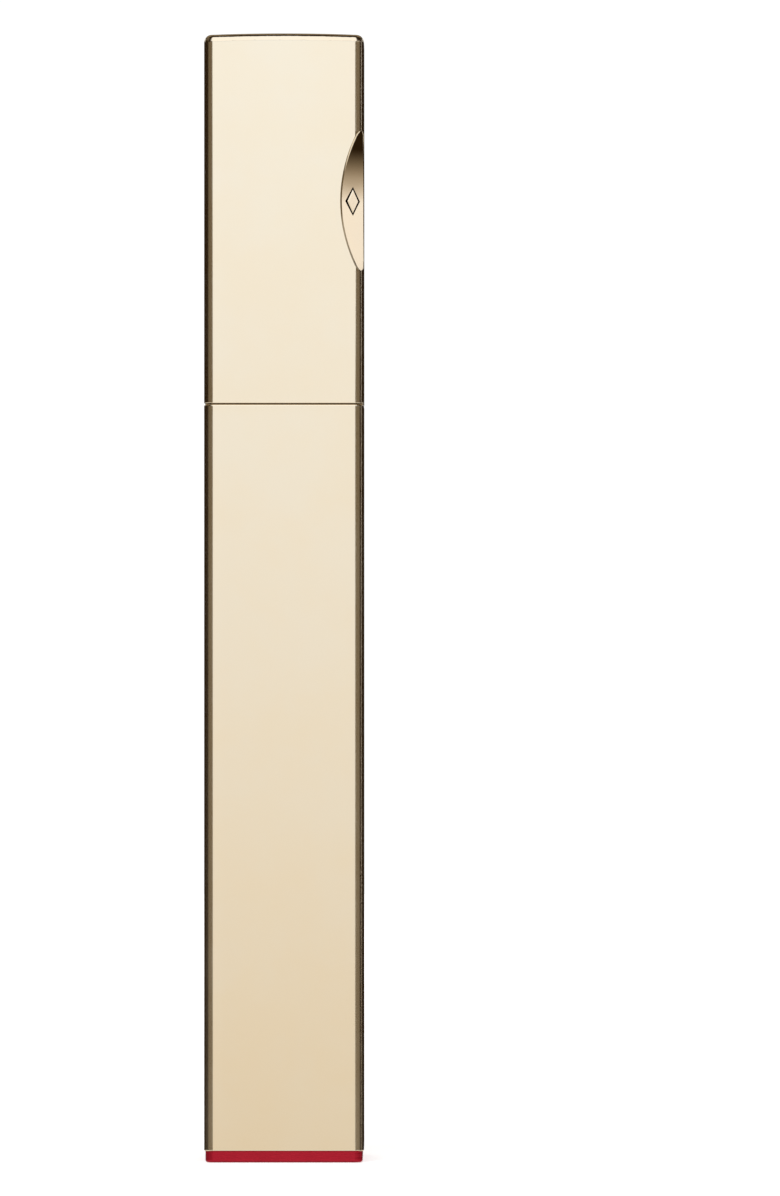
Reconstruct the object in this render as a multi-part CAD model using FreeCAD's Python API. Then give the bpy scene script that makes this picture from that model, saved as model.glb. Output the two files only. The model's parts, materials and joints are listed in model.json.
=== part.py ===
"""Square mascara tube: a bottle with an inner vial and wiper, and a screw cap that carries the wand.

Millimetres. The origin is the centre of the base's underside, +Z runs up the tube and -Y is the front.
The cap's scooped corner points to +X, -Y. Every part is drawn where it is when the tube is closed.
"""

import FreeCAD, Part
import math
import os

# Driving dimensions: the outside
WIDTH = 17.0                # across the flats of the square tube
HEIGHT = 120.2              # base to the crown of the cap
SPLIT = 80.6                # top of the bottle's sleeve
SPLIT_GAP = 0.1             # shadow gap between sleeve and cap
EDGE = 0.95                 # radius of the four long edges
SLEEVE_LIP = 0.2            # radius of the sleeve's upper edge, at the split
SLEEVE_FOOT = 0.12          # radius of its lower edge
CAP_LIP = 0.08              # radius of the cap's lower edge
DOME = 200.0                # radius of the cap's domed top
CROWN_EDGE = 0.8            # radius where the dome meets the sides

# Fits
FIT = 0.05                  # clearance between pieces that sit in one another
THREAD_ROOTED = 0.25        # how deep a thread's base is buried in its cylinder

# Base
PLATE = 1.2                 # thickness of the red base plate
PLATE_INSET = 0.14          # how far it stands inside the sleeve's sides
PLATE_EDGE = 0.25           # radius of its lower edge
PEG_R = 2.0
PEG = 1.8                   # the plate's peg above the plate
INSERT = 2.5                # thickness of the insert
BOSS_R = 3.5                # boss on the insert, in the vial's punt
BOSS = 0.6
BOSS_SUNK = 0.5             # overlap that joins the boss to the disc

# Bores of the two outer mouldings
SLEEVE_BORE = 7.6
CAP_BORE = 7.715
CAP_CEILING = 118.3         # top of the cap's bore

# Vial, neck and thread
VIAL_R = 7.4
VIAL_HEEL = 0.5             # chamfer round its foot
VIAL_COVE = 0.8             # chamfer round the inside of its floor
VIAL_WALL = 1.0
VIAL_FLOOR = 1.4
SHOULDER = 76.8             # foot of the vial's conical shoulder
NECK_R = 5.5
NECK_BORE = 4.35
RIM = 91.4                  # top of the neck
PITCH = 2.0
THREAD_DEPTH = 0.6
THREAD_FOOT = 85.9          # centre of the neck thread where it starts
THREAD_TURNS = 1.5
THREAD_BASE = 1.2           # axial width of a thread at its root
THREAD_CREST = 0.6
FILL = 70.0                 # level of the mascara
CHANNEL_R = 3.8             # channel that the wand leaves in it
CHANNEL_END = 9.6

# Wiper and seals
WIPER_R = 4.3
WIPER_WALL = 0.6
WIPER_FLANGE_R = 5.3
WIPER_FLANGE = 0.8
WIPER_END = 79.0
LIP_BORE = 2.3              # runs on the stem with 0.05 clearance
WASHER_IN = 3.9
WASHER_OUT = 5.9
WASHER = 1.0
SEAL_SECTION = 0.65         # radius of the soft ring's section
SEAL_DROP = 1.5             # centre of the soft ring below the rim

# Cap liner
LINER_FOOT = 83.6
LINER_R = 7.45
LINER_THREAD_R = 6.25       # root radius of the cap's thread
LINER_UPPER_R = 6.6         # bore of the liner above its web
WEB = 1.8
SOCKET_R = 4.4
SOCKET_DEPTH = 8.0
RIBS = 12
RIB_WIDTH = 0.8
RIB_LENGTH = 20.0
RIB_R = 7.7                 # the ribs grip the cap's bore

# Wand
STEM_R = 2.25
HEAD_R = 3.0
STEM_END = 40.6
TAPER = 5.6                 # length of the cone at the stem's end
STEM_END_R = 1.5
WIRE_HOLE = 0.92
WIRE_DEPTH = 11.5
WIRE_R = 0.43
WIRE_PATH_R = 0.44
WIRE_PITCH = 2.9
WIRE_TIP = 12.9
BRUSH_TIP = 11.2
FIRST_ROW = 39.85           # top of the first row of bristles
ROWS = 18
UPPER_ROWS = 10             # rows that stand on the slimmer stretch of clinging mascara
VANE = 0.4                  # thickness of one row of bristles
CORE_UPPER = 1.5            # radius of the mascara on the wire, upper and lower stretch
CORE_LOWER = 1.85
ROOT_GAP = 0.06             # bristles start this far off the mascara

# Scoop in the cap's corner: a level cylinder cut square across the corner's diagonal
SCOOP_R = 21.6
SCOOP_DEEPEST = 10.31       # distance from the tube's axis to the deepest line of the scoop
SCOOP_Z = 102.2
SCOOP_EDGE = 0.25
INLAY_HALF_WIDTH = 0.8
INLAY_HALF_HEIGHT = 1.25
INLAY_SUNK = 0.3
INLAY_PROUD = 0.12
INLAY_GROOVE = 0.3          # width of the groove left round the inlay

UP = FreeCAD.Vector(0, 0, 1)
ORIGIN = FreeCAD.Vector(0, 0, 0)
DIAGONAL = FreeCAD.Vector(1, -1, 0).normalize()
ACROSS = FreeCAD.Vector(1, 1, 0).normalize()


def square(width, z_low, z_high, edge):
    """Upright square bar on the axis with rounded long edges."""
    bar = Part.makeBox(width, width, z_high - z_low, FreeCAD.Vector(-width / 2, -width / 2, z_low))
    upright = [e for e in bar.Edges if abs(e.tangentAt(e.FirstParameter).z) > 0.99]
    return bar.makeFillet(edge, upright)


def rod(radius, z_low, z_high):
    return Part.makeCylinder(radius, z_high - z_low, FreeCAD.Vector(0, 0, z_low))


def turned(outline):
    """Solid of revolution about Z from a closed outline of (radius, height) points."""
    points = [FreeCAD.Vector(r, 0, z) for r, z in outline]
    face = Part.Face(Part.makePolygon(points + points[:1]))
    return face.revolve(ORIGIN, UP, 360)


def ring(inner, outer, z_low, z_high):
    return turned([(inner, z_low), (outer, z_low), (outer, z_high), (inner, z_high)])


def outer_edges_at(shape, z, reach):
    """Edges that lie at height z and outside the radius reach."""

    def lies_there(edge):
        box = edge.BoundBox
        far = max(abs(box.XMin), abs(box.XMax), abs(box.YMin), abs(box.YMax))
        return abs(box.ZMin - z) < 1e-3 and abs(box.ZMax - z) < 1e-3 and far > reach

    return [e for e in shape.Edges if lies_there(e)]


def helical_sweep(path_r, pitch, turns, profile, start_z, start_angle):
    """Sweep a closed profile of (radius, height from the path) points up a right-hand helix."""
    path = Part.Wire(Part.makeLongHelix(pitch, pitch * turns, path_r).Edges)
    points = [FreeCAD.Vector(r, 0, z) for r, z in profile]
    solid = path.makePipeShell([Part.makePolygon(points + points[:1])], True, True)
    solid.rotate(ORIGIN, UP, start_angle)
    solid.translate(UP * start_z)
    return solid


def thread(root_r, height, base, crest, foot):
    """Screw ridge on a cylinder; height is signed, outwards positive."""
    base_r = root_r - math.copysign(THREAD_ROOTED, height)
    crest_r = root_r + height
    widen = (base - crest) / 2 / abs(height) * THREAD_ROOTED
    half_base = base / 2 + widen
    profile = [(base_r, -half_base), (crest_r, -crest / 2), (crest_r, crest / 2), (base_r, half_base)]
    return helical_sweep(root_r, PITCH, THREAD_TURNS, profile, foot, 0)


def outer_sleeve():
    sleeve = square(WIDTH, PLATE, SPLIT, EDGE)
    sleeve = sleeve.makeFillet(SLEEVE_LIP, outer_edges_at(sleeve, SPLIT, 8))
    sleeve = sleeve.makeFillet(SLEEVE_FOOT, outer_edges_at(sleeve, PLATE, 8))
    return sleeve.cut(rod(SLEEVE_BORE, 0, HEIGHT))


def base_plate():
    plate = square(WIDTH - 2 * PLATE_INSET, 0, PLATE, EDGE - PLATE_INSET)
    plate = plate.makeFillet(PLATE_EDGE, outer_edges_at(plate, 0, 8))
    return plate.fuse(rod(PEG_R, PLATE, PLATE + PEG)).removeSplitter()


def base_insert():
    top = PLATE + INSERT
    disc = ring(PEG_R + FIT, SLEEVE_BORE - FIT, PLATE, top)
    return disc.fuse(rod(BOSS_R, top - BOSS_SUNK, top + BOSS)).removeSplitter()


def vial():
    foot = PLATE + INSERT
    floor = foot + VIAL_FLOOR
    inside = VIAL_R - VIAL_WALL
    punt_r = BOSS_R + 2 * FIT
    neck_foot = SHOULDER + VIAL_R - NECK_R
    neck_inside = neck_foot - 0.3
    body = turned([
        (0, foot + BOSS), (punt_r, foot + BOSS), (punt_r, foot), (VIAL_R - VIAL_HEEL, foot),
        (VIAL_R, foot + VIAL_HEEL), (VIAL_R, SHOULDER), (NECK_R, neck_foot), (NECK_R, RIM),
        (NECK_BORE, RIM), (NECK_BORE, neck_inside), (inside, neck_inside - inside + NECK_BORE),
        (inside, floor + VIAL_COVE), (inside - VIAL_COVE, floor), (0, floor),
    ])
    ridge = thread(NECK_R, THREAD_DEPTH, THREAD_BASE, THREAD_CREST, THREAD_FOOT)
    return body.fuse(ridge)


def formula():
    """The mascara in the vial; the wand keeps a channel open down its middle."""
    wall = VIAL_R - VIAL_WALL - FIT
    floor = PLATE + INSERT + VIAL_FLOOR + FIT
    creep = 0.8
    slump = 0.6
    nose = 1.5
    return turned([
        (0, floor), (wall - VIAL_COVE, floor), (wall, floor + VIAL_COVE), (wall, FILL),
        (wall - creep, FILL - creep), (CHANNEL_R + slump, FILL - creep), (CHANNEL_R, FILL - creep - slump),
        (CHANNEL_R, CHANNEL_END + nose), (CHANNEL_R - nose, CHANNEL_END), (0, CHANNEL_END),
    ])


def shoulder_collar():
    """Ring over the vial's shoulder, with the spigot that centres the cap's mouth."""
    inner = NECK_R + 2 * FIT
    seat = SHOULDER + FIT
    spigot_r = 7.5
    spigot_top = SPLIT + 2.8
    lead = 0.4
    flange_r = SLEEVE_BORE - FIT
    return turned([
        (inner, seat + VIAL_R - inner), (VIAL_R, seat), (flange_r, seat), (flange_r, SPLIT),
        (spigot_r, SPLIT), (spigot_r, spigot_top - lead), (spigot_r - lead, spigot_top), (inner, spigot_top),
    ])


def wiper():
    """Flange on the rim, a sleeve down the neck and a funnel that ends in the wiping lip."""
    bore = WIPER_R - WIPER_WALL
    top = RIM + WIPER_FLANGE
    funnel = WIPER_END + 2.6
    lead = 0.3
    land = 0.4
    lip_r = LIP_BORE + 0.45
    return turned([
        (WIPER_R, RIM), (WIPER_FLANGE_R, RIM), (WIPER_FLANGE_R, top),
        (bore + lead, top), (bore, top - lead), (bore, funnel + lead),
        (LIP_BORE, WIPER_END + land), (LIP_BORE, WIPER_END), (lip_r, WIPER_END), (WIPER_R, funnel),
    ])


def seal_washer():
    seat = RIM + WIPER_FLANGE
    return ring(WASHER_IN, WASHER_OUT, seat, seat + WASHER)


def stem_seal():
    centre = FreeCAD.Vector(0, 0, RIM - SEAL_DROP)
    return Part.makeTorus(STEM_R + FIT + SEAL_SECTION, SEAL_SECTION, centre)


def cap_blank():
    """The cap's outside: a square bar with a domed top and rounded edges."""
    foot = SPLIT + SPLIT_GAP
    bar = square(WIDTH, foot, HEIGHT + 1, EDGE)
    bar = bar.makeFillet(CAP_LIP, outer_edges_at(bar, foot, 8))
    blank = bar.common(Part.makeSphere(DOME, FreeCAD.Vector(0, 0, HEIGHT - DOME)))
    crown = [e for e in blank.Edges if e.BoundBox.ZMin > HEIGHT - 1.5]
    return blank.makeFillet(CROWN_EDGE, crown)


def scoop_tool():
    centre = DIAGONAL * (SCOOP_DEEPEST + SCOOP_R) + UP * SCOOP_Z
    return Part.makeCylinder(SCOOP_R, WIDTH, centre - ACROSS * (WIDTH / 2), ACROSS)


def lozenge(grow, depth_low, depth_high):
    """Upright lozenge bar along the scoop's diagonal."""
    corners = [
        ACROSS * (INLAY_HALF_WIDTH + grow), UP * (INLAY_HALF_HEIGHT + grow),
        ACROSS * -(INLAY_HALF_WIDTH + grow), UP * -(INLAY_HALF_HEIGHT + grow),
    ]
    centre = DIAGONAL * (SCOOP_DEEPEST + depth_low) + UP * SCOOP_Z
    points = [centre + corner for corner in corners]
    face = Part.Face(Part.makePolygon(points + points[:1]))
    return face.extrude(DIAGONAL * (depth_high - depth_low))


def cap_shell():
    blank = cap_blank()
    scooped = blank.cut(scoop_tool())

    def on_scoop(edge):
        middle = edge.valueAt((edge.FirstParameter + edge.LastParameter) / 2)
        gap = middle - DIAGONAL * (SCOOP_DEEPEST + SCOOP_R) - UP * SCOOP_Z
        return abs(math.hypot(gap.dot(DIAGONAL), gap.z) - SCOOP_R) < 1e-3

    scooped = scooped.makeFillet(SCOOP_EDGE, [e for e in scooped.Edges if on_scoop(e)])
    bore = rod(CAP_BORE, SPLIT, CAP_CEILING)
    return scooped.cut(bore).cut(lozenge(INLAY_GROOVE, -INLAY_SUNK, 1))


def scoop_inlay():
    inlay = lozenge(0, -INLAY_SUNK, INLAY_PROUD)
    face = max(inlay.Faces, key=lambda f: f.CenterOfMass.dot(DIAGONAL))
    return inlay.makeChamfer(0.08, face.Edges)


def cap_liner():
    """Inner cap: thread below, a web over the neck, the stem's socket, and a tube up to the ceiling."""
    ceiling = RIM + WIPER_FLANGE + WASHER
    web_top = ceiling + WEB
    liner_top = CAP_CEILING - 2 * FIT
    socket_r = HEAD_R + 0.03
    socket_top = web_top + SOCKET_DEPTH
    lead = 0.4
    body = turned([
        (LINER_THREAD_R + lead, LINER_FOOT), (LINER_R, LINER_FOOT), (LINER_R, liner_top),
        (LINER_UPPER_R, liner_top), (LINER_UPPER_R, web_top), (SOCKET_R, web_top),
        (SOCKET_R, socket_top), (socket_r, socket_top),
        (socket_r, ceiling), (LINER_THREAD_R, ceiling), (LINER_THREAD_R, LINER_FOOT + lead),
    ])
    slack = 2 * FIT
    ridge = thread(LINER_THREAD_R, -THREAD_DEPTH, THREAD_BASE - slack, THREAD_CREST - slack,
                   THREAD_FOOT - PITCH / 2)
    body = body.fuse(ridge)
    rib_root = LINER_R - 0.3
    rib = Part.makeBox(RIB_R - rib_root, RIB_WIDTH, RIB_LENGTH,
                       FreeCAD.Vector(rib_root, -RIB_WIDTH / 2, LINER_FOOT + 1))
    rib = rib.common(rod(RIB_R, LINER_FOOT, CAP_CEILING))
    ribs = []
    for index in range(RIBS):
        turned_rib = rib.copy()
        turned_rib.rotate(ORIGIN, UP, 360 / RIBS * index)
        ribs.append(turned_rib)
    return body.fuse(ribs)


def stem():
    """Rod with a tapered end, a groove for the soft ring, and a ringed head in the liner's socket."""
    ceiling = RIM + WIPER_FLANGE + WASHER
    head_top = ceiling + WEB + SOCKET_DEPTH
    groove_low = RIM - SEAL_DROP - SEAL_SECTION - FIT
    groove_high = RIM - SEAL_DROP + SEAL_SECTION + FIT
    bead_height = 0.45
    bead_r = STEM_R + bead_height
    collar_r = HEAD_R + 0.3
    collar_top = ceiling - 0.02
    end_chamfer = 0.3
    head_chamfer = 0.6
    hole_end = STEM_END + WIRE_DEPTH
    return turned([
        (WIRE_HOLE, STEM_END), (STEM_END_R - end_chamfer, STEM_END), (STEM_END_R, STEM_END + end_chamfer),
        (STEM_R, STEM_END + TAPER), (STEM_R, groove_low - 0.75 - bead_height), (bead_r, groove_low - 0.75),
        (bead_r, groove_low), (STEM_R, groove_low), (STEM_R, groove_high), (collar_r, groove_high),
        (collar_r, collar_top), (HEAD_R, collar_top), (HEAD_R, head_top - head_chamfer),
        (HEAD_R - head_chamfer, head_top), (0, head_top), (0, hole_end), (WIRE_HOLE, hole_end),
    ])


def core_wire():
    """One wire folded in half and twisted; the fold sits at the bottom of the stem's hole."""
    top = STEM_END + WIRE_DEPTH - 0.2
    fold = 0.8
    turns = (top - fold / 2 - WIRE_TIP) / WIRE_PITCH
    path = Part.Wire(Part.makeLongHelix(WIRE_PITCH, WIRE_PITCH * turns, WIRE_PATH_R).Edges)
    start = path.Edges[0]
    section = Part.Wire(Part.Circle(start.valueAt(start.FirstParameter), start.tangentAt(start.FirstParameter),
                                    WIRE_R).toShape())
    strand = path.makePipeShell([section], True, True)
    strand.translate(UP * WIRE_TIP)
    other = strand.copy()
    other.rotate(ORIGIN, UP, 180)
    return rod(WIRE_PATH_R + WIRE_R, top - fold, top).fuse([strand, other])


def brush_radius(z):
    """Reach of the bristles: a short lead-in, a barrel, and a long taper to the tip."""
    lead_in, barrel_top, barrel_foot, last = 39.9, 33.8, 24.8, 13.6
    full, at_lead_in, at_last = 3.48, 2.85, 2.0
    if z > barrel_top:
        return full - (full - at_lead_in) * (z - barrel_top) / (lead_in - barrel_top)
    if z < barrel_foot:
        return full - (full - at_last) * (barrel_foot - z) / (barrel_foot - last)
    return full


def bristle_rows():
    """One node per half turn of the wire, each with its two opposite vanes of bristles."""
    half_pitch = WIRE_PITCH / 2
    rows = {}
    for index in range(ROWS):
        foot = FIRST_ROW - (index + 1) * half_pitch
        inner = ROOT_GAP + (CORE_UPPER if index < UPPER_ROWS else CORE_LOWER)
        outer = brush_radius(foot + half_pitch / 2)
        profile = [(inner, -VANE / 2), (outer, -VANE / 2), (outer, VANE / 2), (inner, VANE / 2)]
        start = -180.0 * index
        vane = helical_sweep(outer, WIRE_PITCH, 0.49, profile, foot, start)
        opposite = vane.copy()
        opposite.rotate(ORIGIN, UP, 180)
        rows[f"bristle_row_{index + 1:02d}"] = Part.makeCompound([vane, opposite])
    return rows


def brush_formula():
    """Mascara that clings to the wire, with a pointed tip that covers the wire's cut ends."""
    inner = WIRE_PATH_R + WIRE_R + 0.03
    step = FIRST_ROW - UPPER_ROWS * WIRE_PITCH / 2
    return turned([
        (inner, STEM_END - 0.1), (CORE_UPPER, STEM_END - 0.3), (CORE_UPPER, step), (CORE_LOWER, step - 0.7),
        (CORE_LOWER, 13.8), (1.2, 12.4), (0.35, BRUSH_TIP), (0, BRUSH_TIP), (0, WIRE_TIP - 0.5),
        (inner, WIRE_TIP - 0.5),
    ])


PARTS = {
    "outer_sleeve": outer_sleeve,
    "base_plate": base_plate,
    "base_insert": base_insert,
    "vial": vial,
    "formula": formula,
    "shoulder_collar": shoulder_collar,
    "wiper": wiper,
    "seal_washer": seal_washer,
    "stem_seal": stem_seal,
    "cap_shell": cap_shell,
    "scoop_inlay": scoop_inlay,
    "cap_liner": cap_liner,
    "stem": stem,
    "core_wire": core_wire,
    "brush_formula": brush_formula,
}

os.makedirs("parts", exist_ok=True)
shapes = {name: make() for name, make in PARTS.items()}
shapes.update(bristle_rows())
for name, shape in shapes.items():
    shape.exportStep(f"parts/{name}.step")
    print(f"{name}: {len(shape.Solids)} solid(s), {shape.Volume:.2f} mm3, valid {shape.isValid()}")
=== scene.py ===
"""Square mascara tube: finishes, brush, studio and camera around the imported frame."""

import json
import math
import random

import bpy
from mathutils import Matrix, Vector, noise


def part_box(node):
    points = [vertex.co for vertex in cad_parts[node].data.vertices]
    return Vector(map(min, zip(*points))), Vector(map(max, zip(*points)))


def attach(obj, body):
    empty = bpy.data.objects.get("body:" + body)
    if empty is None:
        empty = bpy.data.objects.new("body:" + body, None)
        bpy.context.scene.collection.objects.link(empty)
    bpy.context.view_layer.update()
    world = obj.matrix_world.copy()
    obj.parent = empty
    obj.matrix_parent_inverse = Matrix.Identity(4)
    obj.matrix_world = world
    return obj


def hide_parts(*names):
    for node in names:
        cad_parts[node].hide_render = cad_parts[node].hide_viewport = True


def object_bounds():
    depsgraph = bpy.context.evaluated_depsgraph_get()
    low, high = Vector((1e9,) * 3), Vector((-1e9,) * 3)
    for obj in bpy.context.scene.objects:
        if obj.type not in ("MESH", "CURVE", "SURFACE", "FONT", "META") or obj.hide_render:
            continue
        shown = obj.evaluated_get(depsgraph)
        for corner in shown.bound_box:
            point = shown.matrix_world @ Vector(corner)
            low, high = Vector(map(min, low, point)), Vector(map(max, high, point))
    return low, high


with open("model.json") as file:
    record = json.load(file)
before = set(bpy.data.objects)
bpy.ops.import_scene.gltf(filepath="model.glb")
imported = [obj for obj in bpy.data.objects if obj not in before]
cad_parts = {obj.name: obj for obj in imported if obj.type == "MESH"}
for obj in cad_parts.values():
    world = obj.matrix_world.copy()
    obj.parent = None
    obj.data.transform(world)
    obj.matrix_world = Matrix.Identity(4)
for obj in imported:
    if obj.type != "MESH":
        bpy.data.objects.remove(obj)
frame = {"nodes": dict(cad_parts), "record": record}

CAD_BOX = [list(corner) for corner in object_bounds()]
NODES = frame["nodes"]
MM = 0.001

TURN = 2 * math.pi

# Camera
FRAME_HEIGHT = 127.1 * MM           # what the picture's height covers at the tube
CAMERA_DISTANCE = 1.0               # from the tube's front face
SENSOR = 36.0                       # mm, along the picture's long side
SIDE_OFFSET = 11.27 * MM            # the tube stands this far left of the picture's middle
EYE_HEIGHT = 60.0 * MM

# Gold: the recess round the inlay, which is painted dark as shade, the rounded long edges and the scoop
GROOVE_BELOW_INLAY = 0.2 * MM       # from the inlay's top down into the groove
GROOVE_HALF_WIDTH = 1.3 * MM
GROOVE_MARGIN = 0.3 * MM            # half the groove's depth, and its reach past the inlay's ends
EDGE_OUTER, EDGE_INNER = 0.9 * MM, 1.0 * MM     # short of the square corner, along |x| + |y|
SCOOP_HALF_LENGTH = 7.4 * MM

# Stem: its satin, fluted end
SATIN_BELOW, GLOSS_ABOVE = 4.2 * MM, 4.6 * MM   # above the stem's foot
FLUTES = 36

FINE_RELIEF = 0.01 * MM             # depth of the grain on polished and moulded surfaces


# -- Node helpers ---------------------------------------------------------------------

def add(tree, kind, inputs=None, **settings):
    """New node; inputs maps a socket's name or index to a value or to another node's socket."""
    made = tree.nodes.new("ShaderNode" + kind)
    for name, value in settings.items():
        setattr(made, name, value)
    for key, value in (inputs or {}).items():
        if isinstance(value, bpy.types.NodeSocket):
            tree.links.new(value, made.inputs[key])
        else:
            made.inputs[key].default_value = value
    return made


def maths(tree, operation, *values):
    return add(tree, "Math", dict(enumerate(values)), operation=operation).outputs[0]


def ramp(tree, value, low, high, to_low=0.0, to_high=1.0, smooth=True):
    """Maps value from low..high to to_low..to_high, clamped."""
    kind = "SMOOTHSTEP" if smooth else "LINEAR"
    made = add(tree, "MapRange", {0: value, 1: low, 2: high, 3: to_low, 4: to_high},
               interpolation_type=kind)
    return made.outputs[0]


def mix_colour(tree, factor, first, second, blend="MIX"):
    made = add(tree, "Mix", data_type="RGBA", blend_type=blend)
    for index, value in ((0, factor), (6, first), (7, second)):
        if isinstance(value, bpy.types.NodeSocket):
            tree.links.new(value, made.inputs[index])
        else:
            made.inputs[index].default_value = value
    return made.outputs[2]


def colour(red, green, blue):
    return (red, green, blue, 1.0)


def new_material(name):
    material = bpy.data.materials.new(name)
    material.use_nodes = True
    tree = material.node_tree
    return material, tree, tree.nodes["Principled BSDF"]


def local_point(tree, stretch=(1, 1, 1)):
    """The piece's own coordinates in metres, scaled per axis."""
    place = add(tree, "TexCoord").outputs["Object"]
    return add(tree, "Mapping", {"Vector": place, "Scale": stretch}).outputs[0]


def noise_at(tree, point, scale, detail=3.0, roughness=0.5):
    return add(tree, "TexNoise", {"Vector": point, "Scale": scale, "Detail": detail,
                                  "Roughness": roughness}).outputs[0]


def bump(tree, height, strength, distance):
    return add(tree, "Bump", {"Height": height, "Strength": strength, "Distance": distance}).outputs[0]


# -- Finishes -------------------------------------------------------------------------

def in_inlay_groove(tree, point):
    """1 below the scoop's surface around the inlay, 0 elsewhere: where the gold is painted dark as
    shade.
    """
    corners = [vertex.co for vertex in NODES["scoop_inlay"].data.vertices]
    outward = Vector((1, -1, 0)).normalized()
    proud = max(outward.dot(corner) for corner in corners) - GROOVE_BELOW_INLAY
    low, high = min(corner.z for corner in corners), max(corner.z for corner in corners)
    across = outward.cross(Vector((0, 0, 1)))

    def along(direction):
        return add(tree, "VectorMath", {0: point, 1: direction},
                   operation="DOT_PRODUCT").outputs["Value"]

    def within(value, middle, reach):
        off = maths(tree, "ABSOLUTE", maths(tree, "SUBTRACT", value, middle))
        return maths(tree, "LESS_THAN", off, reach)

    sunk = within(along(outward), proud - GROOVE_MARGIN, GROOVE_MARGIN)
    beside = within(along(across), 0.0, GROOVE_HALF_WIDTH)
    level = within(along((0, 0, 1)), (low + high) / 2, (high - low) / 2 + GROOVE_MARGIN)
    return maths(tree, "MULTIPLY", sunk, maths(tree, "MULTIPLY", beside, level))


def on_long_edge(tree, point):
    """1 on the tube's four rounded long edges, 0 on its flat faces and in the scoop."""
    half_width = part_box("outer_sleeve")[1].x
    scoop_z = sum(corner.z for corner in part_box("scoop_inlay")) / 2
    parts = add(tree, "SeparateXYZ", {0: point})
    unsigned = add(tree, "VectorMath", {0: point}, operation="ABSOLUTE").outputs[0]
    size = add(tree, "SeparateXYZ", {0: unsigned})
    outward = maths(tree, "ADD", size.outputs["X"], size.outputs["Y"])
    rounded = ramp(tree, outward, 2 * half_width - EDGE_INNER, 2 * half_width - EDGE_OUTER)
    towards_scoop = maths(tree, "SUBTRACT", parts.outputs["X"], parts.outputs["Y"])
    own_corner = maths(tree, "GREATER_THAN", towards_scoop, half_width)
    off = maths(tree, "ABSOLUTE", maths(tree, "SUBTRACT", parts.outputs["Z"], scoop_z))
    scooped = maths(tree, "MULTIPLY", own_corner, maths(tree, "LESS_THAN", off, SCOOP_HALF_LENGTH))
    return maths(tree, "MULTIPLY", rounded, maths(tree, "SUBTRACT", 1.0, scooped))


def gold_finish():
    """Metallised gold under clear lacquer, duller along the long edges; painted shade, near black and
    not metallic, in the recess round the inlay.
    """
    material, tree, shader = new_material("gold_metallised")
    point = local_point(tree)
    edge = on_long_edge(tree, point)
    haze = noise_at(tree, point, 90.0, 4.0, 0.6)
    peel = noise_at(tree, point, 1400.0, 2.0)
    hairs = noise_at(tree, local_point(tree, (1.0, 1.0, 0.03)), 9000.0, 2.0)
    tint = mix_colour(tree, ramp(tree, haze, 0.3, 0.7), colour(1.0, 0.85, 0.62),
                      colour(1.0, 0.87, 0.66))
    groove_painted_shade = in_inlay_groove(tree, point)
    # Painted shade: the recess round the inlay gets near-black colour in place of gold.
    tint = mix_colour(tree, groove_painted_shade, tint, colour(0.012, 0.006, 0.002))
    tree.links.new(tint, shader.inputs["Base Color"])
    tree.links.new(maths(tree, "SUBTRACT", 1.0, groove_painted_shade), shader.inputs["Metallic"])
    rough = maths(tree, "ADD", ramp(tree, haze, 0.35, 0.75, 0.055, 0.085),
                  ramp(tree, hairs, 0.62, 0.8, 0.0, 0.02))
    rough = maths(tree, "ADD", rough, maths(tree, "MULTIPLY", edge, 0.12))
    rough = maths(tree, "ADD", rough, maths(tree, "MULTIPLY", groove_painted_shade, 0.4))
    tree.links.new(rough, shader.inputs["Roughness"])
    surface = maths(tree, "ADD", peel, maths(tree, "MULTIPLY", hairs, 0.25))
    surface = maths(tree, "MULTIPLY", surface, maths(tree, "SUBTRACT", 1.0, edge))
    tree.links.new(bump(tree, surface, 0.03, FINE_RELIEF), shader.inputs["Normal"])
    return material


def red_finish():
    """Deep red lacquer over brushed metal."""
    material, tree, shader = new_material("red_plate")
    brushed = noise_at(tree, local_point(tree, (0.05, 0.05, 1.0)), 14000.0, 2.0)
    cloud = noise_at(tree, local_point(tree), 260.0)
    tint = mix_colour(tree, cloud, colour(0.38, 0.008, 0.021), colour(0.46, 0.011, 0.030))
    tree.links.new(tint, shader.inputs["Base Color"])
    shader.inputs["Metallic"].default_value = 0.6
    tree.links.new(ramp(tree, brushed, 0.3, 0.7, 0.26, 0.32), shader.inputs["Roughness"])
    tree.links.new(bump(tree, brushed, 0.01, FINE_RELIEF), shader.inputs["Normal"])
    shader.inputs["Specular IOR Level"].default_value = 0.3
    return material


def black_gloss_finish():
    """The wand's rod: semi-gloss black, satin and finely fluted on its tapered end."""
    material, tree, shader = new_material("black_gloss_plastic")
    point = local_point(tree)
    parts = add(tree, "SeparateXYZ", {0: point})
    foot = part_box("stem")[0].z
    on_taper = ramp(tree, parts.outputs["Z"], foot + GLOSS_ABOVE, foot + SATIN_BELOW)
    angle = maths(tree, "ARCTAN2", parts.outputs["Y"], parts.outputs["X"])
    flutes = maths(tree, "SINE", maths(tree, "MULTIPLY", angle, FLUTES))
    grain = noise_at(tree, point, 5000.0, 3.0)
    smear = noise_at(tree, local_point(tree, (1, 1, 0.2)), 700.0, 3.0)
    tint = mix_colour(tree, smear, colour(0.006, 0.007, 0.009), colour(0.012, 0.013, 0.016))
    tree.links.new(tint, shader.inputs["Base Color"])
    rough = maths(tree, "ADD", ramp(tree, smear, 0.3, 0.7, 0.22, 0.3),
                  maths(tree, "MULTIPLY", on_taper, 0.22))
    tree.links.new(rough, shader.inputs["Roughness"])
    relief = maths(tree, "MULTIPLY", maths(tree, "MULTIPLY", flutes, on_taper), 0.5)
    relief = maths(tree, "ADD", relief, maths(tree, "MULTIPLY", grain, 0.12))
    tree.links.new(bump(tree, relief, 0.5, 0.04 * MM), shader.inputs["Normal"])
    shader.inputs["Specular IOR Level"].default_value = 0.35
    return material


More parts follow.
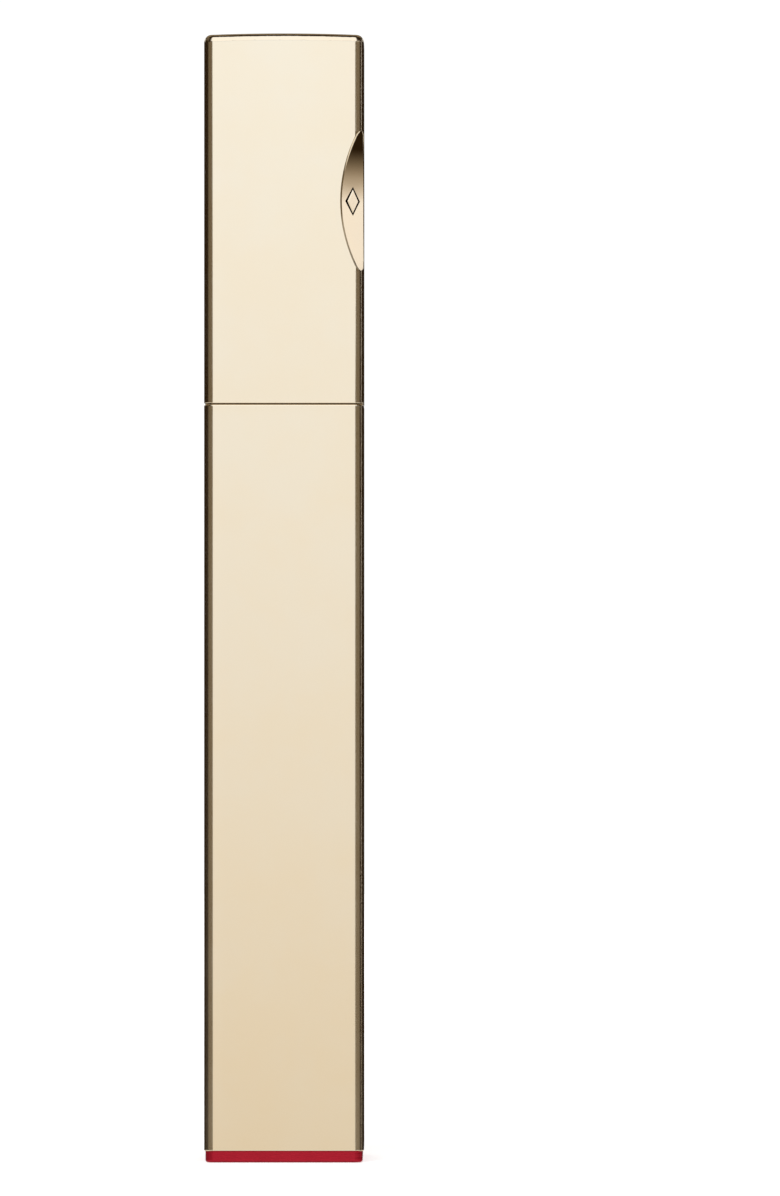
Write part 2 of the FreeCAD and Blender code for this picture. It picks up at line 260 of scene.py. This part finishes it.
def moulded_finish(name, dark, light, rough_low, rough_high, grain_scale, relief):
    """Moulded plastic or rubber: mottled colour, uneven gloss and a fine grain."""
    material, tree, shader = new_material(name)
    point = local_point(tree)
    mottle = noise_at(tree, point, 600.0, 4.0)
    grain = noise_at(tree, point, grain_scale, 3.0)
    tree.links.new(mix_colour(tree, mottle, dark, light), shader.inputs["Base Color"])
    tree.links.new(ramp(tree, mottle, 0.3, 0.7, rough_low, rough_high), shader.inputs["Roughness"])
    tree.links.new(bump(tree, grain, relief, FINE_RELIEF), shader.inputs["Normal"])
    return material


def steel_finish():
    """Bright wire with streaks along its length."""
    material, tree, shader = new_material("steel_wire")
    drawn = noise_at(tree, local_point(tree, (1, 1, 0.05)), 20000.0)
    tree.links.new(mix_colour(tree, drawn, colour(0.4, 0.4, 0.41), colour(0.62, 0.62, 0.63)),
                   shader.inputs["Base Color"])
    shader.inputs["Metallic"].default_value = 1.0
    tree.links.new(ramp(tree, drawn, 0.3, 0.7, 0.2, 0.35), shader.inputs["Roughness"])
    return material


def mascara_look(tree, point):
    """Colour of wet mascara, 1 on each glitter cell, and that cell's own random colour."""
    patches = noise_at(tree, point, 900.0, 3.0, 0.6)
    fine = noise_at(tree, point, 3800.0, 2.0)
    base = mix_colour(tree, ramp(tree, patches, 0.40, 0.60), colour(0.042, 0.009, 0.0004),
                      colour(0.26, 0.075, 0.002))
    base = mix_colour(tree, ramp(tree, fine, 0.48, 0.7), base, colour(0.42, 0.19, 0.004))
    cells = add(tree, "TexVoronoi", {"Vector": point, "Scale": 7500.0,
                                     "Randomness": 1.0}).outputs["Color"]
    chance = add(tree, "SeparateColor", {0: cells})
    threshold = ramp(tree, patches, 0.44, 0.56, 0.96, 0.25)
    flake = maths(tree, "GREATER_THAN", chance.outputs[0], threshold)
    gold = mix_colour(tree, chance.outputs[1], colour(1.0, 0.55, 0.01), colour(1.0, 0.86, 0.05))
    return mix_colour(tree, flake, base, gold), flake, cells


def mascara_finish():
    """Wet mascara full of gold glitter: each small cell catches the light on its own."""
    material, tree, shader = new_material("mascara")
    point = local_point(tree)
    tint, flake, cells = mascara_look(tree, point)
    tree.links.new(tint, shader.inputs["Base Color"])
    tree.links.new(maths(tree, "MULTIPLY", flake, 0.5), shader.inputs["Metallic"])
    rough = maths(tree, "SUBTRACT", 0.38, maths(tree, "MULTIPLY", flake, 0.1))
    tree.links.new(rough, shader.inputs["Roughness"])
    tilt = add(tree, "VectorMath", {0: cells, 1: (0.5, 0.5, 0.5)}, operation="SUBTRACT")
    tilt = add(tree, "VectorMath", {0: tilt.outputs[0], "Scale": maths(tree, "MULTIPLY", flake, 0.5)},
               operation="SCALE")
    lumps = noise_at(tree, point, 3000.0, 3.0)
    surface = bump(tree, lumps, 0.6, 0.08 * MM)
    tilted = add(tree, "VectorMath", {0: surface, 1: tilt.outputs[0]}, operation="ADD")
    tilted = add(tree, "VectorMath", {0: tilted.outputs[0]}, operation="NORMALIZE")
    tree.links.new(tilted.outputs[0], shader.inputs["Normal"])
    shader.inputs["Specular IOR Level"].default_value = 0.3
    shader.inputs["Specular Tint"].default_value = colour(1.0, 0.7, 0.3)
    return material


def bristle_finish():
    """Dark nylon filaments, coated with mascara towards their roots."""
    material, tree, shader = new_material("bristle_nylon")
    point = local_point(tree)
    flat = add(tree, "Mapping", {"Vector": point, "Scale": (1, 1, 0)}).outputs[0]
    radius = add(tree, "VectorMath", {0: flat}, operation="LENGTH").outputs["Value"]
    coated = mascara_look(tree, point)[0]
    clump = noise_at(tree, point, 1500.0, 2.0)
    uneven = maths(tree, "MULTIPLY", maths(tree, "SUBTRACT", clump, 0.5), 2.2 * MM)
    bare = ramp(tree, maths(tree, "ADD", radius, uneven), 1.5 * MM, 2.3 * MM)
    nylon = mix_colour(tree, ramp(tree, clump, 0.35, 0.65), colour(0.014, 0.006, 0.001),
                       colour(0.075, 0.032, 0.003))
    tree.links.new(mix_colour(tree, bare, coated, nylon), shader.inputs["Base Color"])
    tree.links.new(ramp(tree, clump, 0.3, 0.7, 0.28, 0.5), shader.inputs["Roughness"])
    tree.links.new(bump(tree, noise_at(tree, point, 9000.0), 0.3, 0.02 * MM), shader.inputs["Normal"])
    shader.inputs["Specular IOR Level"].default_value = 0.3
    return material


def glitter_finish():
    """Loose flakes of gold film, each with its own shade."""
    material, tree, shader = new_material("glitter_flakes")
    cell = add(tree, "VectorMath", {0: local_point(tree, (4000, 4000, 4000))}, operation="FLOOR")
    shade = add(tree, "TexWhiteNoise", {"Vector": cell.outputs[0]}).outputs["Value"]
    tree.links.new(mix_colour(tree, shade, colour(1.0, 0.60, 0.02), colour(1.0, 0.88, 0.09)),
                   shader.inputs["Base Color"])
    shader.inputs["Metallic"].default_value = 0.5
    tree.links.new(ramp(tree, shade, 0.0, 1.0, 0.2, 0.38), shader.inputs["Roughness"])
    return material


FINISHES = {
    "gold_metallised": gold_finish(),
    "red_plate": red_finish(),
    "black_plastic": moulded_finish("black_plastic", colour(0.008, 0.008, 0.009),
                                    colour(0.013, 0.013, 0.014), 0.34, 0.44, 5000.0, 0.12),
    "black_gloss_plastic": black_gloss_finish(),
    "natural_plastic": moulded_finish("natural_plastic", colour(0.66, 0.65, 0.60),
                                      colour(0.71, 0.70, 0.65), 0.30, 0.32, 2500.0, 0.02),
    "soft_plastic": moulded_finish("soft_plastic", colour(0.60, 0.585, 0.54), colour(0.66, 0.645, 0.60),
                                   0.42, 0.5, 3500.0, 0.06),
    "seal_rubber": moulded_finish("seal_rubber", colour(0.02, 0.02, 0.02), colour(0.035, 0.035, 0.034),
                                  0.5, 0.65, 6000.0, 0.4),
    "steel_wire": steel_finish(),
    "mascara": mascara_finish(),
    "bristle_nylon": bristle_finish(),
}
GLITTER = glitter_finish()


def dress_cad_nodes():
    """Gives every CAD node the finish of its own slot."""
    slots = {part["node"]: part["material_slot"] for part in frame["record"]["subparts"]}
    for name, node in NODES.items():
        for index in range(len(node.material_slots)):
            node.material_slots[index].material = FINISHES[slots[name]]


# -- Brush ----------------------------------------------------------------------------

WIRE_PITCH = 2 * (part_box("bristle_row_01")[0].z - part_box("bristle_row_02")[0].z)
ROW_NAMES = sorted(name for name in NODES if name.startswith("bristle_row_"))
BRUSH_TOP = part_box(ROW_NAMES[0])[1].z
BRUSH_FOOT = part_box(ROW_NAMES[-1])[0].z
CORE_LOW, CORE_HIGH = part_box("brush_formula")
CORE_MAX = CORE_HIGH.x
STEM_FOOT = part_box("stem")[0].z - 0.01 * MM
VANE_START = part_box(ROW_NAMES[0])[0].z + 0.2 * MM

# Clinging mascara: radii, and heights above its tip between which they hold
COLLAR_R, SLIM_R, FULL_R = 1.3 * MM, 1.5 * MM, 1.8 * MM
SWELL = 0.1 * MM
SLIM_FROM, FULL_TO, POINT_TO = 14.5 * MM, 12.5 * MM, 3.2 * MM
SKIN_AROUND, SKIN_ALONG = 120, 400
COARSE_LUMPS = (0.16 * MM, 0.9 * MM, 3.1)       # height, size and seed
FINE_LUMPS = (0.07 * MM, 0.35 * MM, 7.7)
WEB_NARROWNESS = 18
WEB_REACH = 0.9 * MM                            # at most, past the CAD's mascara

# Filaments
PER_TURN, CLUMP = 48, 4
FILAMENT_SIDES, FILAMENT_RINGS = 5, 6
ROOT_R = 0.8 * MM                               # where a filament starts, inside the mascara

# Loose flakes
FLAKE_SIDES = 6
FLAKE_LEAN = 0.22
FLAKE_LIFT, FLAKE_THICKNESS = 0.012 * MM, 0.006 * MM


def row_spots():
    """Height and reach of each CAD row, from the top down."""
    spots = []
    for name in ROW_NAMES:
        low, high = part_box(name)
        spots.append(((low.z + high.z) / 2, high.x))
    return spots


ROW_SPOTS = row_spots()


def ramp_value(value, start, end, at_start, at_end):
    """Smooth step from at_start to at_end as value goes from start to end."""
    share = min(1.0, max(0.0, (value - start) / (end - start)))
    share = share * share * (3 - 2 * share)
    return at_start + (at_end - at_start) * share


def row_reach(z):
    """Reach of the bristles at height z, between the CAD rows on either side."""
    for (upper_z, upper_r), (lower_z, lower_r) in zip(ROW_SPOTS, ROW_SPOTS[1:]):
        if lower_z <= z <= upper_z:
            share = (z - lower_z) / (upper_z - lower_z)
            return lower_r + (upper_r - lower_r) * share
    return ROW_SPOTS[0][1] if z > ROW_SPOTS[0][0] else ROW_SPOTS[-1][1]


def vane_angle(z):
    """Direction of the bristle sheet at height z."""
    return TURN * (z - VANE_START) / WIRE_PITCH


def mesh_object(name, vertices, faces, body, finish, smooth=True):
    """Makes a piece of the given mesh that rides the body."""
    mesh = bpy.data.meshes.new(name)
    mesh.from_pydata(vertices, [], faces)
    mesh.update()
    if smooth:
        mesh.shade_smooth()
    piece = bpy.data.objects.new(name, mesh)
    bpy.context.scene.collection.objects.link(piece)
    piece.data.materials.append(finish)
    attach(piece, body)
    return piece


def core_profile(z):
    """Plain radius of the clinging mascara at height z."""
    top, tip = STEM_FOOT, CORE_LOW.z
    if z > tip + SLIM_FROM:
        swell = SLIM_R + SWELL * math.sin((top - z) / (top - tip) * 9)
        return ramp_value(z, top, top - 0.5 * MM, COLLAR_R, swell)
    if z > tip + POINT_TO:
        return ramp_value(z, tip + SLIM_FROM, tip + FULL_TO, SLIM_R, FULL_R)
    share = (z - tip) / POINT_TO
    return FULL_R * share ** 0.56


def lumpiness(x, y, z, size, seed):
    """Smooth noise of about -1 to 1, with lumps of the given size."""
    return noise.noise(Vector((x / size + seed, y / size, z / size)))


def clinging_mascara():
    """Closed skin round the wire: lumps, and webs that climb the roots of the bristles."""
    around, along = SKIN_AROUND, SKIN_ALONG
    coarse, coarse_size, coarse_seed = COARSE_LUMPS
    fine, fine_size, fine_seed = FINE_LUMPS
    vertices, faces = [], []
    top, tip = STEM_FOOT, CORE_LOW.z
    for step in range(along + 1):
        z = top - (top - tip) * step / along
        plain = core_profile(z)
        bristly = 1.0 if BRUSH_FOOT - 0.6 * MM < z < BRUSH_TOP + 0.3 * MM else 0.0
        web_height = ramp_value(z, 27 * MM, 20 * MM, 0.55, 0.8) * MM
        for turn in range(around):
            angle = TURN * turn / around
            x, y = math.cos(angle) * plain, math.sin(angle) * plain
            lump = coarse * lumpiness(x, y, z, coarse_size, coarse_seed)
            lump += fine * lumpiness(x, y, z, fine_size, fine_seed)
            web = abs(math.cos(angle - vane_angle(z))) ** WEB_NARROWNESS
            patch = 0.55 + 0.75 * lumpiness(x, y, z, 0.7 * MM, 11.3)
            radius = plain * 0.98 + lump * min(1, plain / MM)
            radius += web * max(0.0, patch) * web_height * bristly
            radius = max(0.02 * MM, min(radius, CORE_MAX + WEB_REACH))
            vertices.append((math.cos(angle) * radius, math.sin(angle) * radius, z))
    for step in range(along):
        for turn in range(around):
            after = (turn + 1) % around
            here, below = step * around, (step + 1) * around
            faces.append((here + turn, below + turn, below + after, here + after))
    faces.append(tuple(range(around)))
    faces.append(tuple(along * around + turn for turn in reversed(range(around))))
    piece = mesh_object("brush_mascara", vertices, faces, "cap", FINISHES["mascara"])
    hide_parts("brush_formula")
    return piece


def filament(vertices, faces, points, radius_root, radius_tip):
    """Appends one tapered filament along a list of points."""
    sides = FILAMENT_SIDES
    start = len(vertices)
    for index, point in enumerate(points):
        before = points[max(0, index - 1)]
        after = points[min(len(points) - 1, index + 1)]
        along = (after - before).normalized()
        side = along.cross(Vector((0, 0, 1))).normalized()
        other = along.cross(side)
        share = index / (len(points) - 1)
        radius = radius_root + (radius_tip - radius_root) * share
        for corner in range(sides):
            angle = TURN * corner / sides
            vertices.append(point + (side * math.cos(angle) + other * math.sin(angle)) * radius)
    for ring in range(len(points) - 1):
        low, high = start + ring * sides, start + (ring + 1) * sides
        for corner in range(sides):
            after = (corner + 1) % sides
            faces.append((low + corner, low + after, high + after, high + corner))
    faces.append(tuple(start + corner for corner in reversed(range(sides))))
    last = start + (len(points) - 1) * sides
    faces.append(tuple(last + corner for corner in range(sides)))


def bristles():
    """Filaments on both sides of the twisted wire, drawn together in small wet clumps."""
    chance = random.Random(41)
    vertices, faces = [], []
    length = BRUSH_TOP - BRUSH_FOOT - 0.5 * MM
    count = int(PER_TURN * length / WIRE_PITCH)
    for side in (0.0, math.pi):
        for group in range(count // CLUMP):
            pull = chance.uniform(0.1, 0.5)
            group_z = BRUSH_TOP - 0.3 * MM - length * (group + 0.5) * CLUMP / count
            group_angle = vane_angle(group_z) + side + chance.uniform(-0.05, 0.05)
            group_reach = row_reach(group_z) * chance.uniform(0.96, 0.995)
            for member in range(CLUMP):
                z = group_z + length / count * (member - CLUMP / 2 + 0.5) + chance.gauss(0, 0.09) * MM
                angle = vane_angle(z) + side + chance.gauss(0, 0.07)
                reach = min(row_reach(z) * 0.99, group_reach * chance.uniform(0.97, 1.03))
                tip_angle = angle + (group_angle - angle) * pull
                tip_z = z + (group_z - z) * pull + chance.gauss(0, 0.06) * MM
                sag = chance.gauss(0, 0.07) * MM
                points = []
                for step in range(FILAMENT_RINGS):
                    share = step / (FILAMENT_RINGS - 1)
                    radius = ROOT_R + (reach - ROOT_R) * share
                    bend = share * share
                    turn = angle + (tip_angle - angle) * bend
                    here = z + (tip_z - z) * bend + sag * math.sin(math.pi * share)
                    points.append(Vector((math.cos(turn) * radius, math.sin(turn) * radius, here)))
                thick = chance.uniform(0.06, 0.085) * MM
                filament(vertices, faces, points, thick, thick * chance.uniform(0.65, 0.95))
    piece = mesh_object("brush_bristles", vertices, faces, "cap", FINISHES["bristle_nylon"])
    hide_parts(*ROW_NAMES)
    return piece


def glitter_on(skin, count=2400):
    """Six-sided flakes that lie in clusters, slightly lifted, on the mascara."""
    chance = random.Random(7)
    vertices, faces = [], []
    polygons = skin.data.polygons
    side_faces = len(polygons) - 2      # all but the skin's two ends
    for _ in range(count):
        spot = polygons[chance.randrange(side_faces)]
        gathered = 0.4 + 2.6 * lumpiness(*spot.center, 0.8 * MM, 23.9)
        if chance.random() > gathered:
            continue
        lean = Vector([chance.gauss(0, FLAKE_LEAN) for _ in range(3)])
        normal = (spot.normal + lean).normalized()
        side = normal.orthogonal().normalized()
        other = normal.cross(side)
        size = chance.uniform(0.07, 0.15) * MM
        spin = chance.uniform(0, TURN)
        start = len(vertices)
        above = start + FLAKE_SIDES
        for level in (FLAKE_LIFT, FLAKE_LIFT + FLAKE_THICKNESS):
            centre = spot.center + spot.normal * level
            for corner in range(FLAKE_SIDES):
                angle = spin + TURN * corner / FLAKE_SIDES
                vertices.append(centre + (side * math.cos(angle) + other * math.sin(angle)) * size)
        faces.append(tuple(start + corner for corner in reversed(range(FLAKE_SIDES))))
        faces.append(tuple(above + corner for corner in range(FLAKE_SIDES)))
        for corner in range(FLAKE_SIDES):
            after = (corner + 1) % FLAKE_SIDES
            faces.append((start + corner, start + after, above + after, above + corner))
    piece = mesh_object("brush_glitter", vertices, faces, "cap", GLITTER, smooth=False)
    return piece


# -- Studio ---------------------------------------------------------------------------

def studio_world():
    """Softboxes and dark flags round the tube, drawn by direction; the camera sees plain white."""
    world = bpy.data.worlds.new("studio")
    bpy.context.scene.world = world
    world.use_nodes = True
    tree = world.node_tree
    tree.nodes.clear()
    parts = add(tree, "SeparateXYZ", {0: add(tree, "TexCoord").outputs["Generated"]})
    east, north, up = parts.outputs
    to_right = maths(tree, "ARCTAN2", east, maths(tree, "MULTIPLY", north, -1.0))
    height = maths(tree, "ARCSINE", up)

    def fade(start, end, smooth=True):
        return ramp(tree, height, math.radians(start), math.radians(end), smooth=smooth)

    def card(centre, half, fade_in, fade_out, strength, tint, soft=2.0, bow=0.0):
        """A soft-edged light: degrees to the right of the front, and degrees above the horizon."""
        bowed = maths(tree, "POWER", height, 2.0)
        middle = maths(tree, "MULTIPLY_ADD", bowed, bow, math.radians(centre))
        away = maths(tree, "ABSOLUTE", maths(tree, "SUBTRACT", to_right, middle))
        across = ramp(tree, away, math.radians(half + soft), math.radians(half - soft))
        shape = maths(tree, "MULTIPLY", across, maths(tree, "MULTIPLY", fade(*fade_in), fade(*fade_out)))
        amount = maths(tree, "MULTIPLY", shape, strength)
        return add(tree, "VectorMath", {0: tint, "Scale": amount}, operation="SCALE").outputs[0]

    warm, cool, amber = (1.0, 0.98, 0.94), (1.0, 1.04, 1.12), (1.0, 0.83, 0.58)

    # The front face mirrors a panel that goes from warm below the eye's level to cool above it.
    climb = maths(tree, "POWER", fade(-4.0, 4.0, False), 0.75)
    front = mix_colour(tree, climb, colour(0.560, 0.525, 0.465), colour(0.815, 0.910, 1.06))
    front = mix_colour(tree, fade(-7.0, -13.0), front, colour(0.84, 0.86, 0.90))

    # The scoop mirrors a narrow bowed strip that brightens upwards.
    dawn = maths(tree, "POWER", fade(-18.0, 3.0, False), 1.5)
    side = mix_colour(tree, dawn, colour(1.0, 0.8, 0.55), colour(1.0, 1.0, 1.04))
    dawn = maths(tree, "MULTIPLY", dawn, 0.92)

    cards = [
        card(0, 9, (-31.5, -28.5), (17.5, 14.5), 1.0, front, 1.5),
        card(0, 26, (13, 20), (84, 72), 1.0, cool, 9.0),
        card(0, 62, (-14, -10), (14, 10), 0.12, amber, 6.0),
        card(90, 1.9, (-18, -17), (38, 30), dawn, side, 0.6, bow=0.5),
        card(-90, 30, (15, 25), (60, 50), 0.1, amber, 5.0),
        card(0, 9, (-64, -56), (-28.5, -31.5), 0.75, warm, 4.0),
    ]

    # Ring below the horizon, for views from above; open towards the scoop's strip.
    low_ring = ((44, 35, 0.75), (147, 44, 0.75), (-42, 33, 0.75), (-90, 15, 0.70), (-135, 30, 0.65),
                (-180, 15, 0.70))
    for centre, half, strength in low_ring:
        cards.append(card(centre, half, (-64, -56), (-5, -13), strength, warm, 4.0))
    cards.append(card(45, 24, (5, 9), (26, 20), 0.25, warm, 5.0))

    # Lights behind the tube, in two halves that meet at 180 degrees.
    for centre in (180, -180):
        cards.append(card(centre, 60, (30, 40), (76, 62), 0.22, amber, 5.0))
    for centre in (180, -180):
        cards.append(card(centre, 55, (5, 9), (26, 20), 0.7, cool, 5.0))

    total = (0.020, 0.011, 0.004)       # what the polished faces see between the lights
    for light in cards:
        total = add(tree, "VectorMath", {0: total, 1: light}, operation="ADD").outputs[0]
    studio = add(tree, "Background", {"Color": total, "Strength": 1.0}).outputs[0]
    white = add(tree, "Background", {"Color": colour(1, 1, 1), "Strength": 1.05}).outputs[0]
    seen = add(tree, "LightPath").outputs["Is Camera Ray"]
    shown = add(tree, "MixShader", {0: seen, 1: studio, 2: white}).outputs[0]
    tree.links.new(shown, add(tree, "OutputWorld").inputs["Surface"])


def floor():
    """White table top that glows towards its rim; polished faces see the studio instead of it."""
    radius, steps = 0.9, 48
    angles = [TURN * step / steps for step in range(steps)]
    vertices = [(0, 0, 0)]
    vertices += [(radius * math.cos(angle), radius * math.sin(angle), 0) for angle in angles]
    faces = [(0, 1 + step, 1 + (step + 1) % steps) for step in range(steps)]
    mesh = bpy.data.meshes.new("floor")
    mesh.from_pydata(vertices, [], faces)
    table = bpy.data.objects.new("floor", mesh)
    bpy.context.scene.collection.objects.link(table)
    table.location.z = -0.05 * MM
    material, tree, shader = new_material("white_table")
    place = local_point(tree)
    grain = noise_at(tree, place, 300.0)
    tree.links.new(mix_colour(tree, grain, colour(0.86, 0.86, 0.86), colour(0.9, 0.9, 0.9)),
                   shader.inputs["Base Color"])
    shader.inputs["Roughness"].default_value = 0.7
    shader.inputs["Emission Color"].default_value = colour(1, 1, 1)
    distance = add(tree, "VectorMath", {0: place}, operation="LENGTH").outputs["Value"]
    glow = maths(tree, "MULTIPLY_ADD", ramp(tree, distance, 0.2, 0.75), 0.3, 0.55)
    tree.links.new(glow, shader.inputs["Emission Strength"])
    mesh.materials.append(material)
    table.visible_glossy = False


def soft_light(name, place, width, height, watts):
    """Rectangular lamp aimed at the tube's middle, unseen by the camera and by polished faces."""
    data = bpy.data.lights.new(name, "AREA")
    data.shape = "RECTANGLE"
    data.size, data.size_y = width, height
    data.energy = watts
    lamp = bpy.data.objects.new(name, data)
    bpy.context.scene.collection.objects.link(lamp)
    lamp.location = place
    aim = Vector((0, 0, EYE_HEIGHT)) - Vector(place)
    lamp.rotation_euler = aim.to_track_quat("-Z", "Y").to_euler()
    lamp.visible_glossy = False
    lamp.visible_camera = False


def camera():
    """Level view of the front face, from one metre."""
    data = bpy.data.cameras.new("camera")
    data.sensor_width = SENSOR
    data.lens = SENSOR * CAMERA_DISTANCE / FRAME_HEIGHT
    data.clip_start, data.clip_end = 0.01, 20.0
    eye = bpy.data.objects.new("camera", data)
    bpy.context.scene.collection.objects.link(eye)
    front = CAD_BOX[0][1]
    eye.location = (SIDE_OFFSET, front - CAMERA_DISTANCE, EYE_HEIGHT)
    eye.rotation_euler = (math.pi / 2, 0, 0)
    bpy.context.scene.camera = eye


dress_cad_nodes()
skin = clinging_mascara()
bristles()
glitter_on(skin)
studio_world()
floor()
soft_light("key", (-0.35, -0.6, 0.55), 0.5, 0.5, 3.5)
soft_light("fill", (0.5, -0.4, 0.35), 0.4, 0.5, 2.0)
soft_light("back", (0.0, 0.6, 0.6), 0.6, 0.4, 2.0)
camera()
bpy.context.scene.view_settings.view_transform = "Standard"
